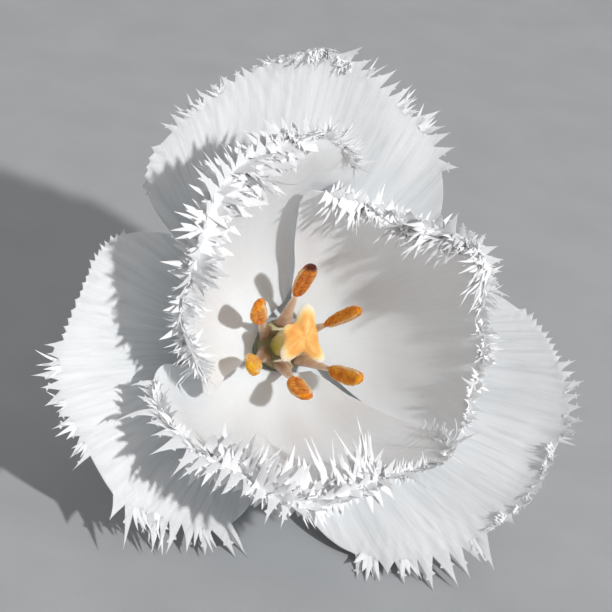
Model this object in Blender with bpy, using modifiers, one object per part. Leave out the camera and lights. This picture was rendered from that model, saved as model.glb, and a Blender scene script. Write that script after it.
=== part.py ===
# One cut fringed tulip bloom on its bare stem, lying on its side on a flat surface.
# Sizes are in millimetres in the flower's own frame: Z runs up the bloom's axis from the
# middle of the receptacle, and azimuths turn from X, anticlockwise seen from in front.

import math
import random

import bmesh
import bpy
import numpy as np
from mathutils import Matrix, Quaternion, Vector
from mathutils.geometry import delaunay_2d_cdt

MM = 0.001

# Posture: the bloom's mouth faces forward (-Y), raised above the surface and turned a little.
VIEW_ELEVATION = math.radians(27)
VIEW_ROLL = math.radians(12)
AXIS_IN_VIEW = Vector((0.25, 0.08, 0.965)).normalized()
RECEPTACLE_HEIGHT = 19.6
RECEPTACLE_PLACE = (-7.93, -33.75)

# Stem
STEM_RADIUS = 3.4
STEM_LENGTH = 132.0
STEM_NECK = 9.0
RECEPTACLE_TOP = 0.5
RECEPTACLE_SHAPE = ((0.0, 4.5), (-0.4, 4.9), (-1.7, 5.0), (-3.7, 4.7), (-6.0, 4.1))
STEM_SIDES = 20
SEAT_GAP = 0.3
STEM_HEADING = math.radians(97)
BEND_STEPS = 96

# Blades
BLADE_THICKNESS = 0.7
STATIONS = (0, 6, 12, 24, 36, 48, 60)
OUTER_SEAT = (5.4, -2.0)
INNER_SEAT = (5.3, 0.5)
GRID_STEP = 4.6
FLOOR_CLEARANCE = 0.36
FLOOR_SPREAD = 0.25

# Each margin runs from the clockwise corner of the claw, round the tip, to the other corner.
# A fringe zone is (from, to, tooth length, pitch, lean in degrees, outward bend in degrees).
TEPALS = {
    "outer_tepal_top": {
        "azimuth": 89, "seat": OUTER_SEAT, "seed": 11, "overlap": -0.6, "splay": 25,
        "rise": (16, 28, 37, 43, 45, 43, 38),
        "bow": (10, 16, 24, 40, 60, 80, 90),
        "margin": ((-6.2, 0), (-10.8, 5.1), (-18.3, 12.6), (-24.7, 20.5), (-26.9, 29.1),
                   (-24.6, 37.6), (-18.4, 45.6), (-9.6, 52.6), (-2.9, 58), (3.2, 61.2),
                   (9, 58.2), (12.7, 54.6), (19.4, 50.6), (26.9, 45), (30.9, 38.2), (30.7, 30),
                   (24, 19.8), (15.9, 10.9), (10, 4.5), (6.2, 0)),
        "fringe": ((0.27, 0.47, 3.4, 2.4, 10, 10), (0.47, 0.56, 1.8, 1.6, 0, -60),
                   (0.56, 0.68, 2.6, 2.0, -6, 10), (0.70, 0.76, 1.0, 1.6, 0, 0)),
        "curl": ((0.2, 0), (0.3, 4), (0.45, -8), (0.5, -45), (0.56, -12), (0.7, 6), (0.8, 0)),
    },
    "outer_tepal_left": {
        "azimuth": 198, "seat": OUTER_SEAT, "seed": 12, "overlap": -0.6, "splay": 25,
        "rise": (16, 28, 37, 43, 45, 43, 38),
        "bow": (10, 16, 24, 40, 60, 80, 90),
        "margin": ((-6.2, 0), (-10.9, 5.2), (-19.2, 11.7), (-27.3, 21.3), (-29.1, 31.7),
                   (-27.2, 40), (-21.8, 47.6), (-13.2, 53.2), (-4.1, 56.7), (2.7, 56.9),
                   (10, 55.4), (16.9, 51.9), (21.3, 45), (25.6, 38.7), (28.9, 32.9),
                   (26.4, 22.5), (17.5, 11.7), (9.9, 4.6), (6.2, 0)),
        "fringe": ((0.26, 0.42, 1.2, 1.6, 0, 5), (0.42, 0.55, 3.6, 2.1, -8, 5),
                   (0.60, 0.76, 5.2, 2.5, 8, 5)),
        "curl": ((0.2, 0), (0.5, 0), (0.8, 0)),
    },
    "outer_tepal_right": {
        "azimuth": -36, "seat": OUTER_SEAT, "seed": 13, "overlap": -0.6, "splay": 25,
        "rise": (16, 28, 37, 43, 45, 43, 38),
        "bow": (10, 16, 24, 40, 60, 80, 90),
        "margin": ((-6.2, 0), (-11, 5.1), (-19.5, 12.7), (-28.7, 24.1), (-30.5, 33.2),
                   (-27.2, 40.9), (-21.6, 46.4), (-15.4, 50.9), (-7.2, 55.4), (-0.4, 57.4),
                   (5.6, 55.8), (11.6, 54.3), (17.1, 51.8), (22.3, 47.2), (26, 41.4),
                   (28.2, 34.7), (28, 25.8), (18.8, 12.6), (9.9, 4.5), (6.2, 0)),
        "fringe": ((0.28, 0.43, 4.4, 2.4, -6, 5), (0.45, 0.55, 1.6, 1.7, 0, -30),
                   (0.57, 0.66, 3.2, 2.2, 4, 5), (0.66, 0.74, 1.0, 1.6, 0, 0)),
        "curl": ((0.2, 0), (0.3, 0), (0.45, -5), (0.5, -30), (0.56, -30), (0.62, 0), (0.8, 0)),
    },
    "inner_tepal_right": {
        "azimuth": 27, "seat": INNER_SEAT, "seed": 21, "overlap": 2.3, "splay": 55,
        "rise": (25, 33, 48, 66, 75, 74, 66),
        "bow": (11, 17, 21, 28, 34, 38, 44),
        "margin": ((-6.6, 0), (-13, 3), (-19.5, 7.5), (-24.5, 12), (-29.5, 20), (-31.5, 27),
                   (-30.5, 34), (-24, 37), (-15, 38.5), (-9, 42), (-5, 47.5), (1.5, 50.5),
                   (6, 45), (10.5, 39.5), (17, 35), (23, 33.8), (27.5, 33.2), (29.8, 30.5),
                   (28.6, 25), (25, 18), (20.5, 11), (16.5, 6.7), (12, 3), (6.6, 0)),
        "fringe": ((0.31, 0.47, 2.6, 1.9, 0, 10), (0.47, 0.56, 3.0, 2.2, 0, -40),
                   (0.56, 0.65, 4.2, 2.4, 12, 10), (0.65, 0.72, 2.2, 2.2, 0, 10)),
        "curl": ((0.24, 0), (0.3, 10), (0.44, 15), (0.51, 40), (0.58, 20), (0.7, 12), (0.8, 0)),
    },
    "inner_tepal_bottom": {
        "azimuth": 260, "seat": INNER_SEAT, "seed": 22, "overlap": 1.8, "splay": 55,
        "rise": (25, 33, 48, 66, 75, 74, 66),
        "bow": (11, 17, 21, 28, 34, 38, 44),
        "margin": ((-6.6, 0), (-12, 3), (-17, 7), (-21.5, 12), (-27, 20), (-30.5, 28),
                   (-30, 36), (-25.5, 45), (-17.5, 49), (-11, 52), (-4, 54), (3, 51),
                   (11, 50), (19.5, 48.5), (26, 46.5), (28.5, 40), (26, 30), (21.5, 20), (17.5, 12),
                   (14, 7), (10.5, 3), (6.6, 0)),
        "fringe": ((0.26, 0.50, 4.2, 2.2, 0, 15), (0.50, 0.72, 4.6, 2.4, -6, -20),
                   (0.72, 0.78, 2.2, 2.0, 0, 0)),
        "curl": ((0.2, 0), (0.28, 30), (0.45, 20), (0.6, 0), (0.8, 0)),
    },
    "inner_tepal_left": {
        "azimuth": 143, "seat": INNER_SEAT, "seed": 23, "overlap": 1.8, "splay": 55,
        "rise": (25, 33, 48, 66, 75, 74, 66),
        "bow": (11, 17, 20, 25, 29, 34, 42),
        "margin": ((-6.6, 0), (-12, 3), (-17, 7), (-21.5, 12), (-26.5, 20), (-30, 30),
                   (-30, 41), (-27.5, 48.5), (-22, 51), (-15, 52.5), (-8, 55), (0, 56), (7, 54),
                   (13, 48), (19, 40), (24, 31), (26, 23.5), (23, 15), (17.5, 8), (12, 3),
                   (6.6, 0)),
        "fringe": ((0.28, 0.48, 3.0, 2.0, 0, 15), (0.48, 0.60, 4.4, 2.4, 0, 0),
                   (0.60, 0.76, 4.0, 2.2, -6, -20)),
        "curl": ((0.2, 0), (0.28, 25), (0.45, 30), (0.6, 0), (0.8, 0)),
    },
}
CURL_WIDTH = 7.0
TOOTH_WAIST = 0.42
TOOTH_NARROWING = 0.24
SMOOTH_SPACING = 3.2
CLAW_END_PARTS = 6
MARGIN_SAMPLES = 24
MARGIN_STEP = 0.6
ROW_STEP = 0.25
ROWS_LENGTH = 100
OVERLAP_SPREAD = 12

# Veins fan out from a point below the claw: pleats run along them, ruffles across the margin.
FAN_FOOT = 12
PLEAT_RATE = 18
PLEAT_DEPTH = 0.35
PLEAT_START = 25
RUFFLE_DEPTH = 0.9
RUFFLE_RATE = 13
RUFFLE_PHASE = 3
RUFFLE_WIDTH = 12
RUFFLE_START = 18

# Stamens: (azimuth of the anther, its distance from the axis, its length, its width)
STAMENS = ((88, 10.8, 12.0, 3.3), (28, 8.8, 11.5, 2.5), (-38, 10.4, 11.0, 3.3),
           (267, 8.9, 10.5, 4.0), (207, 10.2, 11.0, 3.6), (148, 9.2, 10.5, 3.6))
FILAMENT_FOOT_RADIUS = 3.95
FILAMENT_FOOT_GAP = 0.5
FILAMENT_THICKNESS = (0.95, 0.85, 0.45)
FILAMENT_HEIGHT = 10.2
FILAMENT_STATIONS = (0, 0.12, 0.35, 0.65, 0.88, 1)
FILAMENT_SIDES = 10
ANTHER_DEPTH = 2.3
ANTHER_LEAN = 22
ANTHER_SHAPE = ((0, 0.35), (0.05, 0.68), (0.2, 0.95), (0.5, 1.0), (0.8, 0.92), (0.95, 0.62),
                (1, 0.25))
ANTHER_SIDES = 12

# Pistil
OVARY_RADIUS = 2.7
OVARY_HEIGHT = 13.6
OVARY_SHAPE = ((0.0, 0.86), (0.06, 0.95), (0.15, 1.0), (0.3, 1.03), (0.5, 1.05), (0.7, 1.02),
               (0.85, 0.93), (0.95, 0.8), (1.0, 0.68))
OVARY_SIDES = 24
OVARY_LOBING = 0.05
OVARY_TURN = 76
STIGMA_HEIGHT = 3.0
STIGMA_CORE = 3.4
STIGMA_DOMING = 0.25
# The three lobes from above: (azimuth, distance of the edge from the axis)
STIGMA_OUTLINE = ((0, 3.1), (30, 3.4), (57, 4.7), (72, 6.1), (84, 6.5), (96, 5.6), (112, 4.1),
                  (126, 4.1), (150, 3.8), (180, 3.9), (205, 4.5), (226, 5.1), (242, 4.2),
                  (262, 3.1), (285, 3.5), (300, 4.6), (314, 5.2), (330, 4.3), (345, 3.3),
                  (360, 3.1))

COLLECTION = "fringed_tulip"


for item in list(bpy.data.objects):
    bpy.data.objects.remove(item, do_unlink=True)

collection = bpy.data.collections.new(COLLECTION)
bpy.context.scene.collection.children.link(collection)


def material(name, colour, roughness):
    finish = bpy.data.materials.new(name)
    finish.use_nodes = True
    shader = finish.node_tree.nodes["Principled BSDF"]
    shader.inputs["Base Color"].default_value = (*colour, 1)
    shader.inputs["Roughness"].default_value = roughness
    finish.diffuse_color = (*colour, 1)
    return finish


def smooth(stations, values, at):
    stations = np.asarray(stations, float)
    values = np.asarray(values, float)
    at = np.asarray(at, float)
    slopes = np.gradient(values, stations)
    i = np.clip(np.searchsorted(stations, at) - 1, 0, len(stations) - 2)
    span = stations[i + 1] - stations[i]
    f = np.clip((at - stations[i]) / span, 0, 1)
    start = values[i] * (1 + 2 * f) * (1 - f) ** 2 + slopes[i] * span * f * (1 - f) ** 2
    end = values[i + 1] * f * f * (3 - 2 * f) + slopes[i + 1] * span * f * f * (f - 1)
    return start + end


def view_frame():
    right = Vector((1, 0, 0))
    up = Vector((0, math.sin(VIEW_ELEVATION), math.cos(VIEW_ELEVATION)))
    toward = Vector((0, -math.cos(VIEW_ELEVATION), math.sin(VIEW_ELEVATION)))
    across = right * math.cos(VIEW_ROLL) + up * math.sin(VIEW_ROLL)
    over = up * math.cos(VIEW_ROLL) - right * math.sin(VIEW_ROLL)
    return Matrix((across, over, toward)).transposed()


def flower_pose():
    tilt = Vector((0, 0, 1)).rotation_difference(AXIS_IN_VIEW).to_matrix()
    pose = (view_frame() @ tilt).to_4x4()
    pose.translation = Vector((*RECEPTACLE_PLACE, RECEPTACLE_HEIGHT))
    return pose


POSE = flower_pose()
FLOOR_UP = np.array(POSE.to_3x3().transposed() @ Vector((0, 0, 1)))
FLOOR_AHEAD = np.array(POSE.to_3x3().transposed() @ Vector((0, -1, 0)))


def add_object(name, mesh, finish):
    part = bpy.data.objects.new(name, mesh)
    mesh.materials.append(finish)
    for face in mesh.polygons:
        face.use_smooth = True
    collection.objects.link(part)
    return part


def margin_line(points):
    points = np.array(points, float)
    padded = np.vstack([2 * points[0] - points[1], points, 2 * points[-1] - points[-2]])
    line = []
    for i in range(1, len(padded) - 2):
        before, start, end, after = padded[i - 1:i + 3]
        for f in np.linspace(0, 1, MARGIN_SAMPLES, endpoint=False):
            line.append(0.5 * (2 * start + (end - before) * f
                               + (2 * before - 5 * start + 4 * end - after) * f ** 2
                               + (3 * start - before - 3 * end + after) * f ** 3))
    line.append(points[-1])
    line = np.array(line)
    run = np.concatenate([[0], np.cumsum(np.hypot(*np.diff(line, axis=0).T))])
    return line, run


def margin_at(line, run, along):
    x = np.interp(along, run, line[:, 0])
    y = np.interp(along, run, line[:, 1])
    ahead = np.clip(along + MARGIN_STEP, 0, run[-1])
    behind = np.clip(along - MARGIN_STEP, 0, run[-1])
    way = np.array([np.interp(ahead, run, line[:, 0]) - np.interp(behind, run, line[:, 0]),
                    np.interp(ahead, run, line[:, 1]) - np.interp(behind, run, line[:, 1])])
    way /= np.hypot(*way)
    return np.array([x, y]), np.array([-way[1], way[0]])


def fringed_pattern(tepal, line, run):
    """Flat outline with its teeth: points, each with its foot on the margin, reach and bend."""
    draw = random.Random(tepal["seed"])
    total = run[-1]
    outline = []

    def smooth_run(start, end):
        count = max(1, round((end - start) / SMOOTH_SPACING))
        for k in range(count):
            along = start + (end - start) * k / count
            outline.append((margin_at(line, run, along)[0], along, 0.0, 0.0))

    place = 0.0
    for start, end, length, pitch, lean, bend in tepal["fringe"]:
        start *= total
        end *= total
        if start > place + 0.01:
            smooth_run(place, start)
            place = start
        while place < end - 0.4 * pitch:
            base = pitch * draw.uniform(0.75, 1.3)
            reach = length * draw.uniform(0.55, 1.35)
            turn = math.radians(lean + draw.uniform(-9, 9))
            rate = math.radians(bend + draw.uniform(-1, 1) * tepal["splay"]) / reach
            base = min(base, end - place)
            middle, outward = margin_at(line, run, place + base / 2)
            c, s = math.cos(turn), math.sin(turn)
            way = np.array([c * outward[0] - s * outward[1], s * outward[0] + c * outward[1]])
            first = margin_at(line, run, place)[0]
            last = margin_at(line, run, place + base)[0]
            tip = middle + way * reach
            waist = middle + way * reach * TOOTH_WAIST
            narrow = (first - last) * TOOTH_NARROWING
            outline.append((first, place, 0.0, 0.0))
            outline.append((waist + narrow, place + base / 2, reach * TOOTH_WAIST, rate))
            outline.append((tip, place + base / 2, reach, rate))
            outline.append((waist - narrow, place + base / 2, reach * TOOTH_WAIST, rate))
            place += base
    smooth_run(place, total)
    # The end of the claw, back to the first corner.
    for k in range(CLAW_END_PARTS):
        share = k / CLAW_END_PARTS
        along = total if share < 0.5 else 0.0
        outline.append((line[-1] + (line[0] - line[-1]) * share, along, 0.0, 0.0))
    return outline


def blade_grid(line, run, step, clear):
    low = line.min(axis=0)
    high = line.max(axis=0)
    rows = np.arange(low[1] + 0.5 * step, high[1], step * math.sqrt(3) / 2)
    points = []
    for n, y in enumerate(rows):
        for x in np.arange(low[0] + (n % 2) * step / 2, high[0], step):
            points.append((x, y))
    points = np.array(points)
    closed = np.vstack([line, line[:1]])
    a, b = closed[:-1], closed[1:]
    inside = np.zeros(len(points), bool)
    for (x0, y0), (x1, y1) in zip(a, b):
        crosses = (y0 > points[:, 1]) != (y1 > points[:, 1])
        slope = (x1 - x0) / (y1 - y0) if y1 != y0 else 0.0
        inside ^= crosses & (points[:, 0] < x0 + slope * (points[:, 1] - y0))
    points = points[inside]
    return points[nearest_on_margin(points, line, run)[0] > clear]


def nearest_on_margin(points, line, run):
    coarse = line[::3]
    gaps = np.hypot(points[:, None, 0] - coarse[None, :, 0],
                    points[:, None, 1] - coarse[None, :, 1])
    best = gaps.argmin(axis=1)
    return gaps[np.arange(len(points)), best], run[::3][best]


def arc(length, rate):
    """How far a strip of this length falls short and lifts when it bends at this rate."""
    rate = np.where(np.abs(rate) < 1e-5, 1e-5, rate)
    return np.sin(rate * length) / rate - length, (1 - np.cos(rate * length)) / rate


class Surface:
    """Carries flat points of one tepal onto its bowed, risen and curled surface."""

    def __init__(self, tepal, line, run):
        self.tepal = tepal
        self.line = line
        self.run = run
        self.azimuth = math.radians(tepal["azimuth"])
        self.y = np.arange(0, ROWS_LENGTH, ROW_STEP)
        self.rise = np.radians(smooth(STATIONS, tepal["rise"], self.y))
        self.radial = tepal["seat"][0] + ROW_STEP * np.concatenate(
            [[0], np.cumsum(np.cos(self.rise[:-1]))])
        self.height = tepal["seat"][1] + ROW_STEP * np.concatenate(
            [[0], np.cumsum(np.sin(self.rise[:-1]))])

    def place(self, flat, depth, along, reach, tooth_rate):
        tepal = self.tepal
        share = along / self.run[-1]
        curl_at, curl_by = zip(*tepal["curl"])
        curl = np.radians(smooth(curl_at, curl_by, share))
        way = np.gradient(self.line, self.run, axis=0)
        outward = np.stack([-np.interp(along, self.run, way[:, 1]),
                            np.interp(along, self.run, way[:, 0])], -1)
        outward /= np.hypot(outward[:, 0], outward[:, 1])[:, None]
        # The margin rolls as an arc, away from the bloom's axis where the curl is positive,
        # and beyond it each tooth bends on by its own rate.
        rolled = np.maximum(0, CURL_WIDTH - depth)
        shift, lift = arc(rolled, curl / CURL_WIDTH)
        tooth_shift, tooth_lift = arc(reach, tooth_rate)
        lift = -lift - tooth_lift
        x = flat[:, 0] + outward[:, 0] * (shift + tooth_shift)
        y = flat[:, 1] + outward[:, 1] * (shift + tooth_shift)
        fan = np.arctan2(x, y + FAN_FOOT)
        pleats = PLEAT_DEPTH * np.cos(PLEAT_RATE * fan + tepal["seed"])
        lift += pleats * np.clip(y / PLEAT_START, 0, 1)
        edge = np.clip(1 - depth / RUFFLE_WIDTH, 0, 1) ** 2
        free = np.clip((y - RUFFLE_START) / RUFFLE_WIDTH, 0, 1)
        wave = np.cos(RUFFLE_RATE * fan + RUFFLE_PHASE * tepal["seed"])
        lift += RUFFLE_DEPTH * edge * free * wave
        lift += tepal["overlap"] * np.tanh(x / OVERLAP_SPREAD)
        bow = 1 / smooth(STATIONS, tepal["bow"], y)
        radial = np.interp(y, self.y, self.radial)
        height = np.interp(y, self.y, self.height)
        rise = np.interp(y, self.y, self.rise)
        side = np.sin(bow * x) / bow - lift * np.sin(bow * x)
        up = (1 - np.cos(bow * x)) / bow + lift * np.cos(bow * x)
        radial = radial - np.sin(rise) * up
        height = height + np.cos(rise) * up
        ahead = np.array([math.cos(self.azimuth), math.sin(self.azimuth)])
        turned = np.array([-ahead[1], ahead[0]])
        points = np.stack([radial * ahead[0] + side * turned[0],
                           radial * ahead[1] + side * turned[1], height], -1)
        return lay_on_floor(points)


def lay_on_floor(points):
    # Where a blade would dip below the surface it lies along it.
    level = points @ FLOOR_UP + RECEPTACLE_HEIGHT
    lack = np.maximum(0, FLOOR_CLEARANCE - level)
    return points + lack[:, None] * (FLOOR_UP + FLOOR_SPREAD * FLOOR_AHEAD)


def build_tepal(name, tepal):
    line, run = margin_line(tepal["margin"])
    outline = fringed_pattern(tepal, line, run)
    border = np.array([p[0] for p in outline])
    grid = blade_grid(line, run, GRID_STEP, 0.52 * GRID_STEP)
    depth, along = nearest_on_margin(grid, line, run)
    flat = np.vstack([border, grid])
    depth = np.concatenate([[-p[2] for p in outline], depth])
    along = np.concatenate([[p[1] for p in outline], along])
    reach = np.concatenate([[p[2] for p in outline], np.zeros(len(grid))])
    rate = np.concatenate([[p[3] for p in outline], np.zeros(len(grid))])
    loop = [list(reversed(range(len(border))))]
    result = delaunay_2d_cdt([Vector(p) for p in flat], [], loop, 1, 1e-5)
    if len(result[0]) != len(flat):
        raise ValueError(f"{name}: teeth cross in the flat pattern")
    placed = Surface(tepal, line, run).place(flat, depth, along, reach, rate)
    mesh = bpy.data.meshes.new(name)
    origin = [source[0] for source in result[3]]
    vertices = [Vector(placed[i]) * MM for i in origin]
    mesh.from_pydata(vertices, [], [list(face) for face in result[2]])
    part = add_object(name, mesh, petal_finish)
    skin = part.modifiers.new("blade thickness", "SOLIDIFY")
    skin.thickness = BLADE_THICKNESS * MM
    skin.offset = 0
    split = part.modifiers.new("flat facets", "TRIANGULATE")
    split.min_vertices = 4
    return part


def swept_tube(name, path, sizes, sides, side_hint, finish):
    """A closed tube of elliptical rings along a path; sizes holds each ring's half axes."""
    shell = bmesh.new()
    rings = []
    for i, centre in enumerate(path):
        way = (path[min(i + 1, len(path) - 1)] - path[max(i - 1, 0)]).normalized()
        side = (side_hint - way * side_hint.dot(way)).normalized()
        front = way.cross(side)
        ring = []
        for k in range(sides):
            angle = 2 * math.pi * k / sides
            offset = side * sizes[i][0] * math.cos(angle) + front * sizes[i][1] * math.sin(angle)
            ring.append(shell.verts.new((centre + offset) * MM))
        rings.append(ring)
    return close_rings(name, shell, rings, finish)


def close_rings(name, shell, rings, finish):
    sides = len(rings[0])
    for low, high in zip(rings, rings[1:]):
        for k in range(sides):
            shell.faces.new((low[k], low[(k + 1) % sides], high[(k + 1) % sides], high[k]))
    shell.faces.new(reversed(rings[0]))
    shell.faces.new(rings[-1])
    bmesh.ops.recalc_face_normals(shell, faces=shell.faces)
    bmesh.ops.triangulate(shell, faces=shell.faces)
    mesh = bpy.data.meshes.new(name)
    shell.to_mesh(mesh)
    shell.free()
    return add_object(name, mesh, finish)


def on_axis_plane(azimuth, radius, height):
    angle = math.radians(azimuth)
    return Vector((radius * math.cos(angle), radius * math.sin(angle), height))


def build_stamen(number, azimuth, distance, length, width):
    lean = math.radians(ANTHER_LEAN)
    across = on_axis_plane(azimuth + 90, 1, 0)
    low = distance - 0.5 * length * math.sin(lean)
    foot = on_axis_plane(azimuth, FILAMENT_FOOT_RADIUS, RECEPTACLE_TOP + FILAMENT_FOOT_GAP)
    top = on_axis_plane(azimuth, low, FILAMENT_HEIGHT)
    path = [foot.lerp(top, f) for f in FILAMENT_STATIONS]
    radii = smooth((0, 0.5, 1), FILAMENT_THICKNESS, FILAMENT_STATIONS)
    sizes = [(float(radius), float(radius)) for radius in radii]
    filament = swept_tube(f"filament_{number}", path, sizes, FILAMENT_SIDES, across,
                          filament_finish)
    start = on_axis_plane(azimuth, low, FILAMENT_HEIGHT + SEAT_GAP)
    end = start + on_axis_plane(azimuth, math.sin(lean), math.cos(lean)) * length
    path = [start.lerp(end, f) for f, _ in ANTHER_SHAPE]
    sizes = [(share * width / 2, share * ANTHER_DEPTH / 2) for _, share in ANTHER_SHAPE]
    anther = swept_tube(f"anther_{number}", path, sizes, ANTHER_SIDES, across, anther_finish)
    return filament, anther


def build_ovary():
    shell = bmesh.new()
    rings = []
    foot = RECEPTACLE_TOP + SEAT_GAP
    for share, width in OVARY_SHAPE:
        ring = []
        for k in range(OVARY_SIDES):
            angle = 2 * math.pi * k / OVARY_SIDES
            lobed = 1 + OVARY_LOBING * math.cos(3 * angle - 3 * math.radians(OVARY_TURN))
            point = on_axis_plane(math.degrees(angle), OVARY_RADIUS * width * lobed,
                                  foot + share * OVARY_HEIGHT)
            ring.append(shell.verts.new(point * MM))
        rings.append(ring)
    return close_rings("ovary", shell, rings, ovary_finish)


def build_stigma():
    shell = bmesh.new()
    bmesh.ops.create_icosphere(shell, subdivisions=3, radius=1)
    foot = RECEPTACLE_TOP + OVARY_HEIGHT + 2 * SEAT_GAP
    azimuths, edges = zip(*STIGMA_OUTLINE)
    for point in shell.verts:
        angle = math.degrees(math.atan2(point.co.y, point.co.x)) % 360
        flat = math.hypot(point.co.x, point.co.y)
        lobe = float(smooth(azimuths, edges, angle)) - STIGMA_CORE
        radius = STIGMA_CORE + lobe * flat
        rise = 1 + point.co.z * (1 + STIGMA_DOMING * lobe * flat / STIGMA_CORE)
        point.co = Vector((point.co.x * radius, point.co.y * radius,
                           foot + rise * STIGMA_HEIGHT / 2)) * MM
    mesh = bpy.data.meshes.new("stigma")
    shell.to_mesh(mesh)
    shell.free()
    return add_object("stigma", mesh, stigma_finish)


def build_stem():
    # The stalk leaves the receptacle along the bloom's axis and bends down to lie along the surface.
    axis = POSE.to_3x3() @ Vector((0, 0, 1))
    top = POSE @ Vector((0, 0, RECEPTACLE_TOP))
    path = [top + axis * along for along, _ in RECEPTACLE_SHAPE]
    sizes = [(radius, radius) for _, radius in RECEPTACLE_SHAPE]
    place = top - axis * STEM_NECK
    along_floor = Vector((math.cos(STEM_HEADING), math.sin(STEM_HEADING), 0))
    turn = (-axis).rotation_difference(along_floor)
    ways = [Quaternion().slerp(turn, (k + 0.5) / BEND_STEPS) @ -axis for k in range(BEND_STEPS)]
    drop = -sum(way.z for way in ways) / BEND_STEPS
    bend_length = (place.z - STEM_RADIUS) / drop
    path.append(place.copy())
    for k, way in enumerate(ways):
        place += way * bend_length / BEND_STEPS
        if k % 8 == 7:
            path.append(place.copy())
    rest = STEM_LENGTH - STEM_NECK - bend_length
    path += [place + along_floor * rest * k / 4 for k in range(1, 5)]
    sizes += [(STEM_RADIUS, STEM_RADIUS)] * (len(path) - len(sizes))
    return swept_tube("stem", path, sizes, STEM_SIDES, Vector((1, 0, 0)), stem_finish)


petal_finish = material("petal white", (0.86, 0.86, 0.84), 0.55)
stem_finish = material("stem green", (0.22, 0.38, 0.12), 0.5)
filament_finish = material("filament", (0.62, 0.48, 0.36), 0.45)
anther_finish = material("anther orange", (0.78, 0.36, 0.02), 0.8)
ovary_finish = material("ovary green", (0.55, 0.55, 0.2), 0.45)
stigma_finish = material("stigma cream", (0.95, 0.72, 0.42), 0.5)

flower_axis = bpy.data.objects.new("flower_axis", None)
collection.objects.link(flower_axis)
flower_axis.matrix_world = Matrix.Translation(POSE.translation * MM) @ POSE.to_3x3().to_4x4()

build_stem()
held = [build_tepal(name, settings) for name, settings in TEPALS.items()]
for number, stamen in enumerate(STAMENS, 1):
    held += build_stamen(number, *stamen)
held += [build_ovary(), build_stigma()]
for part in held:
    part.parent = flower_axis
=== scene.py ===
import random
from functools import partial
from math import atan2, cos, pi, radians, sin, sqrt

import bpy
import numpy as np
from mathutils import Matrix, Quaternion, Vector
from mathutils.geometry import delaunay_2d_cdt


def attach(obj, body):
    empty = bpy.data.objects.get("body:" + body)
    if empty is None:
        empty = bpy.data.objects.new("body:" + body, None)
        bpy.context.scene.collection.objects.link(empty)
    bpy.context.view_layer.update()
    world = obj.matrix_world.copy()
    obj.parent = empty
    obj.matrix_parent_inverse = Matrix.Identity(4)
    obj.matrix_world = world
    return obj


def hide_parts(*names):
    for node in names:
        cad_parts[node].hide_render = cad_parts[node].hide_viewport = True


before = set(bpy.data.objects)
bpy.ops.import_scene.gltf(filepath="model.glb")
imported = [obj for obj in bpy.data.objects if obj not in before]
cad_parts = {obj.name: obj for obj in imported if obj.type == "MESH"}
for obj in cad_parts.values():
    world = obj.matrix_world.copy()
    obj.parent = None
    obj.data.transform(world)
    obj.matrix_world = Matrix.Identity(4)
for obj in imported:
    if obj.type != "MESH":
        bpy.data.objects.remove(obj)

scene = bpy.context.scene
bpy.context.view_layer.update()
mm = 0.001

# How the bloom lies: its mouth faces forward, raised and turned a little (mm, degrees).
posture = {
    "elevation": 27,
    "roll": 12,
    "axisInView": (0.25, 0.08, 0.965),
    "place": (-7.93, -33.75, 19.6),
    "floorClearance": 0.36,
    "floorSpread": 0.25,
}


def viewFrame():
    e, r = radians(posture["elevation"]), radians(posture["roll"])
    right = Vector((1, 0, 0))
    up = Vector((0, sin(e), cos(e)))
    toward = Vector((0, -cos(e), sin(e)))
    across = right * cos(r) + up * sin(r)
    over = up * cos(r) - right * sin(r)
    return Matrix((across, over, toward)).transposed()


facing = viewFrame()
bloomTilt = Vector((0, 0, 1)).rotation_difference(Vector(posture["axisInView"]).normalized())
bloomPose = (facing @ bloomTilt.to_matrix()).to_4x4()
bloomPose.translation = Vector(posture["place"])
poseTurn = np.array(bloomPose.to_3x3())
floorUp = poseTurn.T @ np.array((0, 0, 1))
floorAhead = poseTurn.T @ np.array((0, -1, 0))


def toRow(points):
    # flower frame in mm -> row frame in metres
    return (np.asarray(points) @ poseTurn.T + np.array(posture["place"])) * mm


def liftOff(points, clearance, way):
    level = points @ floorUp + posture["place"][2]
    return points + np.maximum(0, clearance - level)[:, None] * way


def deselectAll():
    for item in bpy.context.selected_objects:
        item.select_set(False)


def takeUp(piece):
    deselectAll()
    piece.select_set(True)
    bpy.context.view_layer.objects.active = piece


def addObject(name, data):
    item = bpy.data.objects.new(name, data)
    scene.collection.objects.link(item)
    return item


def addMesh(name, points, faces):
    mesh = bpy.data.meshes.new(name)
    mesh.from_pydata([tuple(p) for p in toRow(points)], [], faces)
    return addObject(name, mesh)


def clamp(x):
    return np.clip(x, 0, 1)


def turnPair(one, other, angle):
    # two directions at right angles, turned in their own plane
    c, s = np.cos(angle), np.sin(angle)
    return one * c + other * s, other * c - one * s


def hexColour(code):
    parts = [int(code[i:i + 2], 16) / 255 for i in (1, 3, 5)]
    return (*[c / 12.92 if c <= 0.04045 else ((c + 0.055) / 1.055) ** 2.4 for c in parts], 1)


def addNode(tree, kind, settings=None, links=None):
    node = tree.nodes.new("ShaderNode" + kind)
    for name, value in (settings or {}).items():
        if name == "stops":
            ramp = node.color_ramp
            while len(ramp.elements) < len(value):
                ramp.elements.new(0.5)
            for element, (place, colour) in zip(ramp.elements, value):
                element.position = place
                element.color = hexColour(colour)
        elif isinstance(name, int) or name in node.inputs:
            node.inputs[name].default_value = value
        else:
            setattr(node, name, value)
    feed(node, links or {})
    return node


def feed(node, sources):
    for name, source in sources.items():
        if isinstance(source, bpy.types.Node):
            # a node stands for the first of its outputs that is in use
            source = next(socket for socket in source.outputs if socket.enabled)
        node.id_data.links.new(source, node.inputs[name])


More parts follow.
